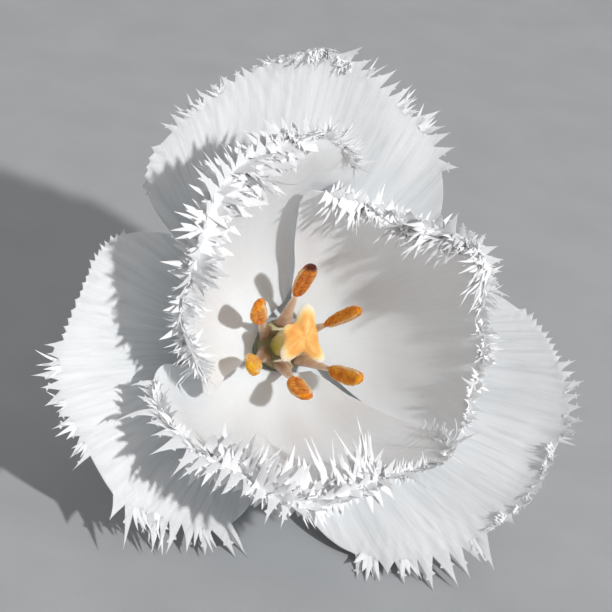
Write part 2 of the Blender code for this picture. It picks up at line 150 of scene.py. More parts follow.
def newMaterial(name, settings):
    finish = bpy.data.materials.new(name)
    finish.use_nodes = True
    shader = finish.node_tree.nodes["Principled BSDF"]
    for socket, value in settings.items():
        shader.inputs[socket].default_value = value
    return finish, partial(addNode, finish.node_tree), shader


# White tulip petal: thin living tissue, matt and faintly glowing where light comes through,
# with fine veins that fan out from the claw and end in the teeth.
def petalMaterial():
    finish, add, shader = newMaterial("white tulip petal", {
        "IOR": 1.4, "Specular IOR Level": 0.35,
        "Subsurface Radius": (1, 1, 0.98), "Subsurface Scale": 0.0008,
        "Sheen Weight": 0.08, "Sheen Roughness": 0.4,
    })
    place = add("UVMap", {"uv_map": "petalMap"})
    height = add("SeparateXYZ", None, {"Vector": place}).outputs["Y"]
    body = add("TexCoord").outputs["Object"]
    # veins about 1 mm apart at the rim: the map's u is the fan angle, its v 50 mm a unit
    stretched = add("Mapping", {"Scale": (46, 2.4, 1)}, {"Vector": place})
    veins = add("TexNoise", {"Scale": 1, "Detail": 4, "Roughness": 0.62,
                             "Distortion": 0.5}, {"Vector": stretched})
    shade = add("ValToRGB", {"stops": ((0.3, "#E0E2E3"), (0.5, "#F0F1F2"),
                                       (0.7, "#FAFAFB"))}, {"Fac": veins})
    # how strongly this petal is veined: the outer ones are, the cup is nearly smooth
    veined = add("Attribute", {"attribute_name": "veined"}).outputs["Fac"]
    lined = add("Mix", {"data_type": "RGBA", 6: hexColour("#F4F5F6")}, {0: veined, 7: shade})
    # a cool, faintly darker cast is painted into the petals, strongest at the claw and fading
    # toward the tip, to cancel the warm bounce light inside the cup
    paintedCoolCastMask = add("MapRange", {"From Min": 0.26, "From Max": 1.1, "To Min": 0.75,
                              "To Max": 0}, {"Value": height})
    paintedCoolCast = add("Mix", {"data_type": "RGBA", 7: hexColour("#E4EDF3")}, {0: paintedCoolCastMask, 6: lined})
    # the shards of the fringe are painted whiter, a painted brightness standing in for the light
    # that thin shards catch from many sides, and they are too thin to let light creep sideways
    shard = add("Attribute", {"attribute_name": "shard"}).outputs["Fac"]
    shardsPaintedWhite = add("Mix", {"data_type": "RGBA", 7: hexColour("#FDFDFE")}, {0: shard, 6: paintedCoolCast})
    flesh = add("MapRange", {"To Min": 0.5, "To Max": 0.1}, {"Value": shard})
    # cells of the skin, 0.02 mm in life, drawn 0.5 mm so that they show
    cells = add("TexNoise", {"Scale": 1900}, {"Vector": body})
    gloss = add("MapRange", {"To Min": 0.4, "To Max": 0.62}, {"Value": cells})
    skin = add("Bump", {"Strength": 0.25, "Distance": 0.0001}, {"Height": cells})
    # the veins lie deeper toward the rim, where the blade is thinner
    deep = add("MapRange", {"From Min": 0.5, "From Max": 1.25, "To Min": 0.08,
                            "To Max": 0.4}, {"Value": height})
    # and fade in patches about 12 mm wide
    patches = add("TexNoise", {"Scale": 85, "Detail": 1}, {"Vector": body})
    faded = add("MapRange", {"From Min": 0.38, "From Max": 0.62, "To Min": 0.25},
                {"Value": patches})
    shown = add("Math", {"operation": "MULTIPLY"}, {0: faded, 1: veined})
    strength = add("Math", {"operation": "MULTIPLY"}, {0: deep, 1: shown})
    relief = add("Bump", {"Distance": 0.0006},
                 {"Height": veins, "Normal": skin, "Strength": strength})
    feed(shader, {"Base Color": shardsPaintedWhite, "Roughness": gloss, "Subsurface Weight": flesh,
                  "Normal": relief})
    return finish


# Petals. The margin runs from the claw's clockwise side over the tip to its other side (x, y
# in mm); claw is half the claw's width and gives the margin its two ends.
# fringe: (from, to, tooth length, pitch, lean, outward bend), shares of the margin's length.
# tufts: (from, to, how many, length, half width, root depth, lean, lift, bend, roll), some of
# them as ranges; each tuft is a fan of two to four shards that share a root.
stations = (0, 6, 12, 24, 36, 48, 60)
outerForm = {
    "claw": 6.2, "seat": (5.4, -2), "overlap": -0.6, "splay": 25, "veined": 1, "stretch": 1.3,
    "rise": (16, 28, 37, 43, 45, 43, 38), "bow": (10, 16, 24, 40, 60, 80, 90),
}
innerForm = {
    "claw": 6.6, "seat": (5.3, 0.5), "overlap": 1.8, "splay": 55, "veined": 0.3, "stretch": 1.15,
    "rise": (25, 33, 48, 66, 75, 74, 66), "bow": (11, 17, 21, 28, 34, 38, 44),
}
petals = {
    "outer_tepal_top": {
        **outerForm, "azimuth": 89, "seed": 11, "stretch": 1.1,
        "margin": ((-10.8, 5.1), (-18.3, 12.6), (-24.7, 20.5), (-26.9, 29.1), (-24.6, 37.6),
            (-18.4, 45.6), (-9.6, 52.6), (-2.9, 58), (3.2, 61.2), (9, 58.2), (12.7, 54.6),
            (19.4, 50.6), (26.9, 45), (30.9, 38.2), (30.7, 30), (24, 19.8), (15.9, 10.9),
            (10, 4.5)),
        "fringe": ((0.27, 0.47, 3.4, 2.4, 10, 10), (0.47, 0.56, 1.8, 1.6, 0, -60),
            (0.56, 0.68, 2.6, 2, -6, 10), (0.7, 0.76, 1, 1.6, 0, 0)),
        "curl": ((0.2, 0), (0.3, 4), (0.45, -8), (0.5, -45), (0.56, -12), (0.7, 6), (0.8, 0)),
        "tufts": (
            (0.27, 0.46, 6, (4, 7), (0.35, 0.6), (0, 0.3), 10, (-4, 6), 12, 5),
            (0.44, 0.55, 28, (1.5, 3.8), (0.3, 0.6), (0, 2.5), 30, (10, 120), 75, 25),
            (0.552, 0.556, 1, (3.4, 3.6), (0.25, 0.3), (0, 0.1), 4, (0, 5), 10, 5),
            (0.57, 0.66, 5, (4, 7.5), (0.35, 0.6), (0, 0.3), 10, (-4, 12), 25, 5)),
    },
    "outer_tepal_left": {
        **outerForm, "azimuth": 198, "seed": 12,
        "margin": ((-10.9, 5.2), (-19.2, 11.7), (-27.3, 21.3), (-29.1, 31.7), (-27.2, 40),
            (-21.8, 47.6), (-13.2, 53.2), (-4.1, 56.7), (2.7, 56.9), (10, 55.4), (16.9, 51.9),
            (21.3, 45), (25.6, 38.7), (28.9, 32.9), (26.4, 22.5), (17.5, 11.7), (9.9, 4.6)),
        "fringe": ((0.26, 0.42, 0.9, 1.6, 0, 5), (0.42, 0.55, 3.6, 2.1, -8, 5),
            (0.6, 0.76, 5.2, 2.5, 8, 5)),
        "curl": ((0.2, 0), (0.5, 0), (0.8, 0)),
        "tufts": (
            (0.42, 0.55, 4, (4, 7.5), (0.35, 0.6), (0, 0.3), 10, (-4, 6), 12, 5),
            (0.6, 0.76, 4, (5.5, 8.5), (0.6, 0.9), (0, 0.3), 8, (-4, 6), 10, 5)),
    },
    "outer_tepal_right": {
        **outerForm, "azimuth": -36, "seed": 13,
        "margin": ((-11, 5.1), (-19.5, 12.7), (-28.7, 24.1), (-30.5, 33.2), (-27.2, 40.9),
            (-21.6, 46.4), (-15.4, 50.9), (-7.2, 55.4), (-0.4, 57.4), (5.6, 55.8), (11.6, 54.3),
            (17.1, 51.8), (22.3, 47.2), (26, 41.4), (28.2, 34.7), (28, 25.8), (18.8, 12.6),
            (9.9, 4.5)),
        "fringe": ((0.28, 0.43, 4.4, 2.4, -6, 5), (0.45, 0.55, 1.6, 1.7, 0, -30),
            (0.57, 0.66, 3.2, 2.2, 4, 5), (0.66, 0.74, 1, 1.6, 0, 0)),
        "curl": ((0.2, 0), (0.3, 0), (0.45, -5), (0.5, -30), (0.56, -30), (0.62, 0), (0.8, 0)),
        "tufts": (
            (0.28, 0.43, 4, (4.5, 7.5), (0.6, 0.9), (0, 0.3), 8, (-4, 6), 10, 5),
            (0.43, 0.56, 20, (1.5, 3.5), (0.3, 0.6), (0, 1.5), 25, (0, 110), 60, 25),
            (0.57, 0.64, 3, (3, 6), (0.35, 0.6), (0, 0.3), 10, (-4, 6), 12, 5)),
    },
    "inner_tepal_right": {
        **innerForm, "azimuth": 27, "seed": 21, "overlap": 2.3,
        "margin": ((-13, 3), (-19.5, 7.5), (-24.5, 12), (-29.5, 20), (-31.5, 27), (-30.5, 34),
            (-24, 37), (-15, 38.5), (-9, 42), (-5, 47.5), (1.5, 50.5), (6, 45), (10.5, 39.5),
            (17, 35), (23, 33.8), (27.5, 33.2), (29.8, 30.5), (28.6, 25), (25, 18), (20.5, 11),
            (16.5, 6.7), (12, 3)),
        "fringe": ((0.31, 0.47, 2.6, 1.9, 0, 10), (0.47, 0.56, 3, 2.2, 0, -40),
            (0.56, 0.65, 4.2, 2.4, 12, -70), (0.65, 0.72, 2.2, 2.2, 0, 10)),
        "curl": ((0.24, 0), (0.3, 10), (0.44, 15), (0.51, 40), (0.58, 20), (0.7, 12), (0.8, 0)),
        "tufts": (
            (0.3, 0.47, 80, (1.5, 4.2), (0.3, 0.7), (0, 1.5), 22, (-90, 100), 40, 20),
            (0.46, 0.57, 44, (2, 5.5), (0.5, 1), (0, 2.5), 35, (-60, 110), 90, 35),
            (0.56, 0.72, 34, (3.5, 8), (0.4, 1), (0.2, 3), 25, (60, 115), 70, 20),
            (0.56, 0.72, 26, (2.5, 6), (0.4, 1), (0, 1.2), 25, (-100, -30), 70, 20),
            (0.54, 0.62, 6, (6.5, 9.5), (0.45, 0.7), (0.5, 2.5), 16, (80, 110), 30, 10),
            (0.465, 0.5, 7, (6, 9), (0.6, 1), (0.2, 2), 14, (75, 105), 25, 12),
            (0.57, 0.68, 9, (7, 10), (0.5, 0.75), (0.3, 2.5), 30, (50, 120), 150, 30)),
    },
    "inner_tepal_bottom": {
        **innerForm, "azimuth": 260, "seed": 22,
        "margin": ((-12, 3), (-17, 7), (-21.5, 12), (-27, 20), (-30.5, 28), (-30, 36), (-25.5, 45),
            (-17.5, 49), (-11, 52), (-4, 54), (3, 51), (11, 50), (19.5, 48.5), (26, 46.5),
            (28.5, 40), (26, 30), (21.5, 20), (17.5, 12), (14, 7), (10.5, 3)),
        "fringe": ((0.26, 0.5, 4.2, 2.2, 0, 15), (0.5, 0.72, 4.6, 2.4, -6, -20),
            (0.72, 0.78, 2.2, 2, 0, 0)),
        "curl": ((0.2, 0), (0.28, 30), (0.45, 20), (0.6, 0), (0.8, 0)),
        "tufts": (
            (0.27, 0.4, 36, (2, 5), (0.4, 0.9), (0, 2), 25, (-100, 100), 40, 18),
            (0.38, 0.58, 60, (3.5, 9.5), (0.8, 1.7), (0.2, 4.5), 30, (40, 110), 35, 14),
            (0.38, 0.58, 45, (2.5, 6.5), (0.8, 1.5), (0, 1.5), 25, (-95, -30), 35, 14),
            (0.56, 0.75, 60, (1.5, 4.5), (0.35, 0.7), (0, 2), 22, (-80, 100), 35, 18),
            (0.42, 0.58, 9, (9, 13), (0.5, 0.8), (0.5, 3), 12, (80, 105), 20, 10)),
    },
    "inner_tepal_left": {
        **innerForm, "azimuth": 143, "seed": 23, "bow": (11, 17, 20, 25, 29, 34, 42),
        "margin": ((-12, 3), (-17, 7), (-21.5, 12), (-26.5, 20), (-30, 30), (-30, 41),
            (-27.5, 48.5), (-22, 51), (-15, 52.5), (-8, 55), (0, 56), (7, 54), (13, 48), (19, 40),
            (24, 31), (26, 23.5), (23, 15), (17.5, 8), (12, 3)),
        "fringe": ((0.28, 0.48, 3, 2, 0, 15), (0.48, 0.6, 4.4, 2.4, 0, 0),
            (0.6, 0.76, 4, 2.2, -6, -20)),
        "curl": ((0.2, 0), (0.28, 25), (0.45, 30), (0.6, 0), (0.8, 0)),
        "tufts": (
            (0.29, 0.42, 80, (2.2, 5), (0.3, 0.5), (0, 1.2), 9, (-30, 60), 30, 12),
            (0.4, 0.6, 50, (3.5, 10.5), (0.9, 1.9), (0.2, 4.5), 22, (60, 110), 30, 12),
            (0.4, 0.6, 40, (3, 7.5), (0.8, 1.6), (0, 1.5), 25, (-105, -40), 30, 12),
            (0.58, 0.76, 65, (2.5, 6.5), (0.6, 1.2), (0, 3), 25, (-105, 105), 35, 16)),
    },
}
petalBuild = {
    "gridStep": 0.75, "gridClear": 0.3375, "thickness": 0.45, "rimShare": 0.4, "tipShare": 0.28,
    "rimWidth": 5, "curlWidth": 7, "fineSpacing": 0.8, "marginSamples": 24,
    "fanFoot": 12, "pleatRate": 18, "pleatDepth": 0.35, "pleatStart": 25,
    "ruffleDepth": 0.9, "ruffleRate": 13, "rufflePhase": 3, "ruffleWidth": 12,
    "ruffleStart": 18, "overlapSpread": 12, "foldDepth": 0.16, "foldFade": 6,
    "toothStops": (0.08, 0.18, 0.3, 0.42, 0.55, 0.68, 0.8, 0.91), "toothPower": 1.35,
    # a small side tip on a tooth: how often, on teeth how long, at which stop, how far out
    "barbChance": 0.6, "barbReach": 1.8, "barbStops": (2, 3, 4), "barbWidth": (0.28, 0.5),
    "barbStep": 0.11, "barbSeed": 500,
    # a tooth's base and length as shares of the pitch and length given, degrees of unrest
    "baseRange": (0.75, 1.3), "reachRange": (0.55, 1.35), "unrest": 9, "lastBase": 0.4,
    # points down the middle of a tooth that is wider than this hold up its ridge
    "ribStops": (0, 0.22, 0.45, 0.68), "ribWidth": 0.9,
    # mm to a unit of the map, along the petal and across a blade of the fringe
    "mapLength": 50, "mapWidth": 60,
    "profileLength": 100, "profileStep": 0.25, "smoothAngle": 55,
}
# the fringe's own blades, mm: how they taper, how thick, how many share a root and spread
bladeBuild = {
    "rings": 7, "taper": 0.85, "ridge": 0.17, "tipRidge": 0.02, "fan": (2, 3, 3, 4),
    "opening": (9, 19), "crossing": 4, "spacing": 0.9, "shortBias": 1.4,
    "lengths": (0.45, 1), "widths": (0.7, 1.1), "unrest": 12, "leanShare": 0.6,
    "floorClearance": 0.12, "seedStep": 900,
}


def smoothBetween(at, values, x):
    at, values, x = (np.asarray(a, float) for a in (at, values, x))
    slopes = np.gradient(values, at)
    i = np.clip(np.searchsorted(at, x) - 1, 0, len(at) - 2)
    span = at[i + 1] - at[i]
    f = clamp((x - at[i]) / span)
    start = values[i] * (1 + 2 * f) * (1 - f) ** 2 + slopes[i] * span * f * (1 - f) ** 2
    end = values[i + 1] * f * f * (3 - 2 * f) + slopes[i + 1] * span * f * f * (f - 1)
    return start + end


def marginLine(claw, points):
    points = np.array(((-claw, 0), *points, (claw, 0)))
    padded = np.vstack([2 * points[0] - points[1], points, 2 * points[-1] - points[-2]])
    line = []
    for i in range(1, len(padded) - 2):
        before, start, end, after = padded[i - 1:i + 3]
        for f in np.linspace(0, 1, petalBuild["marginSamples"], endpoint=False):
            line.append(0.5 * (2 * start + (end - before) * f
                               + (2 * before - 5 * start + 4 * end - after) * f ** 2
                               + (3 * start - before - 3 * end + after) * f ** 3))
    line.append(points[-1])
    line = np.array(line)
    run = np.concatenate([[0], np.cumsum(np.hypot(*np.diff(line, axis=0).T))])
    return line, run


def marginAt(line, run, along):
    # a point of the margin and the way out of the petal there, smoothed over 1.2 mm
    spots = np.array([along, min(along + 0.6, run[-1]), max(along - 0.6, 0)])
    x, y = np.interp(spots, run, line[:, 0]), np.interp(spots, run, line[:, 1])
    way = np.array([x[1] - x[2], y[1] - y[2]])
    way /= np.hypot(*way)
    return np.array([x[0], y[0]]), np.array([-way[1], way[0]])


# The flat pattern of a fringed petal. Every point keeps its foot on the margin, how far out
# on a tooth it is, how fast that tooth bends and how high it stands on the tooth's fold.
def petalPattern(petal, line, run):
    draw = random.Random(petal["seed"])
    extra = random.Random(petal["seed"] + petalBuild["barbSeed"])
    build = petalBuild
    total = run[-1]
    border, ribs, folds = [], [], []
    depth = build["foldDepth"]

    def smoothRun(start, end):
        count = max(1, round((end - start) / build["fineSpacing"]))
        for k in range(count):
            along = start + (end - start) * k / count
            border.append((*marginAt(line, run, along)[0], along, 0, 0, 0))
        folds.extend([(start, 0), (end, 0)])

    place = 0
    for start, end, length, pitch, lean, bend in petal["fringe"]:
        start, end = start * total, end * total
        if start > place + 0.01:
            smoothRun(place, start)
            place = start
        while place < end - build["lastBase"] * pitch:
            base = pitch * draw.uniform(*build["baseRange"])
            reach = length * draw.uniform(*build["reachRange"]) * petal["stretch"]
            turn = radians(lean + draw.uniform(-build["unrest"], build["unrest"]))
            rate = radians(bend + draw.uniform(-1, 1) * petal["splay"]) / reach
            base = min(base, end - place)
            mid = place + base / 2
            middle, outward = marginAt(line, run, mid)
            c, s = cos(turn), sin(turn)
            way = np.array([c * outward[0] - s * outward[1], s * outward[0] + c * outward[1]])
            first, last = (marginAt(line, run, place + d)[0] for d in (0, base))
            side = (last - first) / 2
            lateral = side / max(np.hypot(*side), 1e-6)
            barbs = [extra.random() < build["barbChance"] and reach > build["barbReach"]
                     for _ in range(2)]
            barbAt = [extra.choice(build["barbStops"]) for _ in range(2)]
            border.append((*first, place, 0, 0, -depth))
            for sign, order in ((-1, 1), (1, -1)):
                for k, f in list(enumerate(build["toothStops"]))[::order]:
                    wide = (1 - f) ** build["toothPower"]
                    point = middle + way * reach * f + sign * side * wide
                    foot = mid + sign * base / 2 * wide
                    near = (*point, foot, reach * f, rate, -depth * (1 - f))
                    which = int(sign > 0)
                    if barbs[which] and k == barbAt[which]:
                        step = build["barbStep"]
                        out = point + sign * lateral * extra.uniform(*build["barbWidth"]) \
                            + way * reach * step
                        tip = (*out, foot, reach * (f + step), rate, 0)
                        border.extend([near, tip][::order])
                    else:
                        border.append(near)
                if sign < 0:
                    border.append((*(middle + way * reach), mid, reach, rate, 0))
            for f in build["ribStops"]:
                if base * (1 - f) > build["ribWidth"]:
                    ribs.append((*(middle + way * reach * f), mid, reach * f, rate,
                                 depth * (1 - f)))
            folds.extend([(place, -1), (mid, 1), (place + base, -1)])
            place += base
    smoothRun(place, total)
    for share in np.arange(6) / 6:
        border.append((*(line[-1] + (line[0] - line[-1]) * share),
                       total if share < 0.5 else 0, 0, 0, 0))
    return np.array(border), np.array(ribs), np.array(folds)


def petalGrid(line, step, clear):
    low, high = line.min(axis=0), line.max(axis=0)
    rows = np.arange(low[1] + 0.5 * step, high[1], step * sqrt(3) / 2)
    points = np.array([(x, y) for n, y in enumerate(rows)
                       for x in np.arange(low[0] + (n % 2) * step / 2, high[0], step)])
    closed = np.vstack([line, line[:1]])
    inside = np.zeros(len(points), bool)
    for (x0, y0), (x1, y1) in zip(closed[:-1], closed[1:]):
        crosses = (y0 > points[:, 1]) != (y1 > points[:, 1])
        slope = (x1 - x0) / (y1 - y0) if y1 != y0 else 0
        inside ^= crosses & (points[:, 0] < x0 + slope * (points[:, 1] - y0))
    points = points[inside]
    gap = np.hypot(points[:, None, 0] - line[None, :, 0], points[:, None, 1] - line[None, :, 1])
    nearest = gap.argmin(axis=1)
    depth = gap[np.arange(len(points)), nearest]
    keep = depth > clear
    return points[keep], depth[keep], nearest[keep]


def arcOf(length, rate):
    rate = np.where(np.abs(rate) < 1e-5, 1e-5, rate)
    return np.sin(rate * length) / rate - length, (1 - np.cos(rate * length)) / rate


# Carries flat points of one petal onto its bowed, rising and curled surface.
class PetalSurface:
    def __init__(self, petal, line, run):
        self.petal, self.line, self.run = petal, line, run
        step = petalBuild["profileStep"]
        self.y = np.arange(0, petalBuild["profileLength"], step)
        self.rise = np.radians(smoothBetween(stations, petal["rise"], self.y))
        self.radial, self.height = (
            seat + step * np.concatenate([[0], np.cumsum(way(self.rise[:-1]))])
            for seat, way in zip(petal["seat"], (np.cos, np.sin)))
        self.outward = np.gradient(line, run, axis=0)[:, ::-1] * (-1, 1)

    def place(self, flat, depth, along, reach, rate, fold=0):
        petal, build, run = self.petal, petalBuild, self.run
        curlAt, curlBy = zip(*petal["curl"])
        curl = np.radians(smoothBetween(curlAt, curlBy, along / run[-1]))
        outward = np.stack([np.interp(along, run, self.outward[:, k]) for k in (0, 1)], -1)
        outward /= np.hypot(outward[:, 0], outward[:, 1])[:, None]
        rolled = np.maximum(0, build["curlWidth"] - depth)
        shift, lift = arcOf(rolled, curl / build["curlWidth"])
        toothShift, toothLift = arcOf(reach, rate)
        lift = fold - lift - toothLift
        x = flat[:, 0] + outward[:, 0] * (shift + toothShift)
        y = flat[:, 1] + outward[:, 1] * (shift + toothShift)
        fan = np.arctan2(x, y + build["fanFoot"])
        pleats = build["pleatDepth"] * np.cos(build["pleatRate"] * fan + petal["seed"])
        lift = lift + pleats * clamp(y / build["pleatStart"])
        edge = clamp(1 - depth / build["ruffleWidth"]) ** 2
        free = clamp((y - build["ruffleStart"]) / build["ruffleWidth"])
        wave = np.cos(build["ruffleRate"] * fan + build["rufflePhase"] * petal["seed"])
        lift = lift + build["ruffleDepth"] * edge * free * wave
        lift = lift + petal["overlap"] * np.tanh(x / build["overlapSpread"])
        bow = 1 / smoothBetween(stations, petal["bow"], y)
        radial, height, rise = (np.interp(y, self.y, a)
                                for a in (self.radial, self.height, self.rise))
        side = np.sin(bow * x) / bow - lift * np.sin(bow * x)
        up = (1 - np.cos(bow * x)) / bow + lift * np.cos(bow * x)
        radial, height = radial - np.sin(rise) * up, height + np.cos(rise) * up
        a = radians(petal["azimuth"])
        points = np.stack([radial * cos(a) - side * sin(a),
                           radial * sin(a) + side * cos(a), height], -1)
        # where a petal would dip below the surface it lies along it
        return liftOff(points, posture["floorClearance"],
                       floorUp + posture["floorSpread"] * floorAhead)

    def rimFrame(self, along, depth):
        # a point inside the margin with its outward, sideways and inner-face directions
        spots = np.array([along, along, min(along + 0.5, self.run[-1]), along - 0.5])
        depths = np.array([depth, depth + 0.5, depth, depth])
        flat = []
        for a, d in zip(spots, depths):
            point, outward = marginAt(self.line, self.run, a)
            flat.append(point - outward * d)
        none = np.zeros(4)
        p = self.place(np.array(flat), depths, spots, none, none)
        out, side = p[0] - p[1], p[2] - p[3]
        out /= np.linalg.norm(out)
        normal = np.cross(out, side)
        normal /= np.linalg.norm(normal)
        return p[0], out, np.cross(normal, out), normal, flat[0]


# One shard of the fringe: a narrow flat blade with a ridge down its middle, ending in a point.
def growBlade(store, root, way, side, normal, length, width, bend, twist, mapSpot):
    build = bladeBuild
    rings = build["rings"]
    f = np.linspace(0, 1, rings)
    angle = np.radians(bend) * f
    heading, face = turnPair(way, normal, angle[:, None])
    centre = root + length * np.vstack([[0, 0, 0], np.cumsum(
        (heading[:-1] + heading[1:]) / 2, axis=0)]) / (rings - 1)
    across, face = turnPair(side, face, np.radians(twist) * f[:, None])
    across = across * (width * (1 - f) ** build["taper"])[:, None]
    face = face * (build["ridge"] * (1 - f) + build["tipRidge"])[:, None]
    ring = np.stack([centre + across, centre + face, centre - across, centre - face], 1)
    points = np.vstack([ring[:-1].reshape(-1, 3), centre[-1:]])
    first = store["count"]
    last = first + 4 * (rings - 2)
    store["points"].append(points)
    store["count"] += len(points)
    around, faces = ((0, 1), (1, 2), (2, 3), (3, 0)), store["faces"]
    faces += [(a + k, a + turned, a + 4 + turned, a + 4 + k)
              for a in range(first, last, 4) for k, turned in around]
    faces += [(last + k, last + turned, last + 4) for k, turned in around]
    faces.append((first + 3, first + 2, first + 1, first))
    spots = np.repeat(mapSpot[None], len(points), 0)
    share = np.concatenate([np.repeat(f[:-1], 4), f[-1:]])
    spots[:, 1] += share * length / petalBuild["mapLength"]
    spots[:, 0] += np.concatenate([np.tile((1, 0, -1, 0), rings - 1), [0]]) \
        * width / petalBuild["mapWidth"]
    store["map"].append(spots)


# A fan of blades that share a root near the margin.
def growTuft(store, surface, draw, tuft):
    start, end, count, length, width, rootDepth, lean, lift, bend, roll = tuft
    build, total = bladeBuild, surface.run[-1]
    for _ in range(count):
        along = draw.uniform(start, end) * total
        depth = draw.uniform(*rootDepth)
        root, out, side, normal, flat = surface.rimFrame(along, depth)
        tilt = draw.gauss(0, lean * build["leanShare"])
        way, across = turnPair(out, side, radians(tilt))
        heading, face = turnPair(way, normal, radians(draw.uniform(*lift)))
        across, face = turnPair(across, face, radians(draw.gauss(0, roll)))
        size = length[0] + (length[1] - length[0]) * draw.random() ** build["shortBias"]
        wide = draw.uniform(*width)
        fromFoot = flat[1] + petalBuild["fanFoot"]
        mapSpot = np.array([atan2(flat[0], fromFoot), fromFoot / petalBuild["mapLength"]])
        curve, twist = draw.uniform(-bend, bend), draw.gauss(0, roll)
        tips = draw.choice(build["fan"])
        opening = draw.uniform(*build["opening"])
        for k in range(tips):
            off = k - (tips - 1) / 2
            spread = radians(off * opening + draw.gauss(0, build["crossing"]))
            way, beside = turnPair(heading, across, spread)
            growBlade(store, root + across * off * wide * build["spacing"], way, beside,
                      face, size * draw.uniform(*build["lengths"]),
                      wide * draw.uniform(*build["widths"]),
                      curve + draw.gauss(0, build["unrest"]),
                      twist + draw.gauss(0, build["unrest"]), mapSpot)


def setMap(mesh, name, spots):
    while mesh.uv_layers:
        mesh.uv_layers.remove(mesh.uv_layers[0])
    layer = mesh.uv_layers.new(name=name)
    index = np.zeros(len(mesh.loops), int)
    mesh.loops.foreach_get("vertex_index", index)
    layer.data.foreach_set("uv", spots[index].astype(np.float32).ravel())


def setValues(mesh, values):
    for name, value in values.items():
        layer = mesh.attributes.new(name, "FLOAT", "POINT")
        layer.data.foreach_set("value", np.asarray(value, np.float32))


def finishPiece(piece, node, finish):
    piece.data.materials.clear()
    piece.data.materials.append(finish)
    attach(piece, "root")
    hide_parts(node)


def growFringe(petal, surface):
    store = {"points": [], "faces": [], "map": [], "count": 0}
    draw = random.Random(petal["seed"] + bladeBuild["seedStep"])
    for tuft in petal["tufts"]:
        growTuft(store, surface, draw, tuft)
    points = liftOff(np.vstack(store["points"]), bladeBuild["floorClearance"], floorUp)
    blades = addMesh("blades", points, store["faces"])
    setMap(blades.data, "petalMap", np.vstack(store["map"]))
    setValues(blades.data, {"shard": np.ones(store["count"])})
    return blades


def makePetal(node, petal, finish):
    build = petalBuild
    line, run = marginLine(petal["claw"], petal["margin"])
    border, ribs, folds = petalPattern(petal, line, run)
    grid, inside, nearest = petalGrid(line, build["gridStep"], build["gridClear"])
    ridge = np.interp(run[nearest], folds[:, 0], folds[:, 1])
    gridFold = build["foldDepth"] * ridge * np.exp(-inside / build["foldFade"])
    none = np.zeros(len(grid))
    middle = np.column_stack([grid, run[nearest], none, none, gridFold])
    spots = np.vstack([border, ribs, middle])
    flat, (along, reach, rate, fold) = spots[:, :2], spots[:, 2:].T
    depth = np.concatenate([-reach[:-len(grid)], inside])
    loop = [list(reversed(range(len(border))))]
    result = delaunay_2d_cdt([Vector(p) for p in flat], [], loop, 1, 1e-5)
    corners = np.array([tuple(p) for p in result[0]])
    origin = []
    for k, source in enumerate(result[3]):
        if source:
            origin.append(source[0])
        else:
            # two teeth cross here: the crossing takes the nearest point's place
            origin.append(int(np.hypot(*(flat - corners[k]).T).argmin()))
    surface = PetalSurface(petal, line, run)
    placed = surface.place(flat, depth, along, reach, rate, fold)[origin]
    piece = addMesh(node + "_fine", placed, result[2])
    across, fromFoot = corners[:, 0], corners[:, 1] + build["fanFoot"]
    setMap(piece.data, "petalMap",
           np.stack([np.arctan2(across, fromFoot),
                     np.hypot(across, fromFoot) / build["mapLength"]], -1))
    thin = piece.vertex_groups.new(name="blade")
    # the blade thins toward the rim and more along the teeth
    rim = build["rimShare"]
    weight = np.clip(rim + (1 - rim) * depth[origin] / build["rimWidth"], build["tipShare"], 1)
    for k, w in enumerate(weight):
        thin.add([k], float(w), "REPLACE")
    setValues(piece.data, {"veined": np.full(len(placed), petal["veined"])})
    takeUp(piece)
    skin = piece.modifiers.new("thickness", "SOLIDIFY")
    skin.thickness = build["thickness"] * mm
    skin.offset = 0
    skin.vertex_group = "blade"
    bpy.ops.object.modifier_apply(modifier=skin.name)
    growFringe(petal, surface).select_set(True)
    bpy.ops.object.join()
    takeUp(piece)
    bpy.ops.object.shade_smooth_by_angle(angle=radians(build["smoothAngle"]))
    finishPiece(piece, node, finish)
    print("petal", node, len(piece.data.polygons), "faces")


petalFinish = petalMaterial()
for node, petal in petals.items():
    makePetal(node, petal, petalFinish)


# A sphere taken up as rings: share runs from 0 at its lower pole to 1 at its upper one.
def ballOfRings(node, segments, rings):
    deselectAll()
    bpy.ops.mesh.primitive_uv_sphere_add(segments=segments, ring_count=rings, radius=1)
    piece = bpy.context.object
    piece.name = piece.data.name = node + "_fine"
    ball = np.zeros(len(piece.data.vertices) * 3)
    piece.data.vertices.foreach_get("co", ball)
    ball = ball.reshape(-1, 3)
    share = np.arccos(np.clip(-ball[:, 2], -1, 1)) / pi
    return piece, share, np.arctan2(ball[:, 1], ball[:, 0])


def endDiscs(share, disc, lip):
    # how far along each ring is and how wide, with a flat disc at either end of the rings
    at = clamp((share - disc) / (1 - 2 * disc))
    return at, clamp(np.sin(pi * share) / sin(lip * pi))


def runOf(path):
    return np.concatenate([[0], np.cumsum(np.linalg.norm(np.diff(path, axis=0), axis=1))])


def tubeAlong(path, at, angle, wide, deep, hint):
    # rings round a path of points, each square to it, with their width along the hint
    path, hint = np.array(path), np.array(hint)
    run = runOf(path)
    behind, centre, ahead = (
        np.stack([np.interp(clamp(at + step) * run[-1], run, path[:, k])
                  for k in range(3)], -1) for step in (-0.01, 0, 0.01))
    way = ahead - behind
    way /= np.linalg.norm(way, axis=1)[:, None]
    side = hint - way * (way @ hint)[:, None]
    side /= np.linalg.norm(side, axis=1)[:, None]
    return centre + side * (wide * np.cos(angle))[:, None] \
        + np.cross(way, side) * (deep * np.sin(angle))[:, None]


def aroundAxis(angle, radius, height):
    return np.stack([radius * np.cos(angle), radius * np.sin(angle), height], -1)


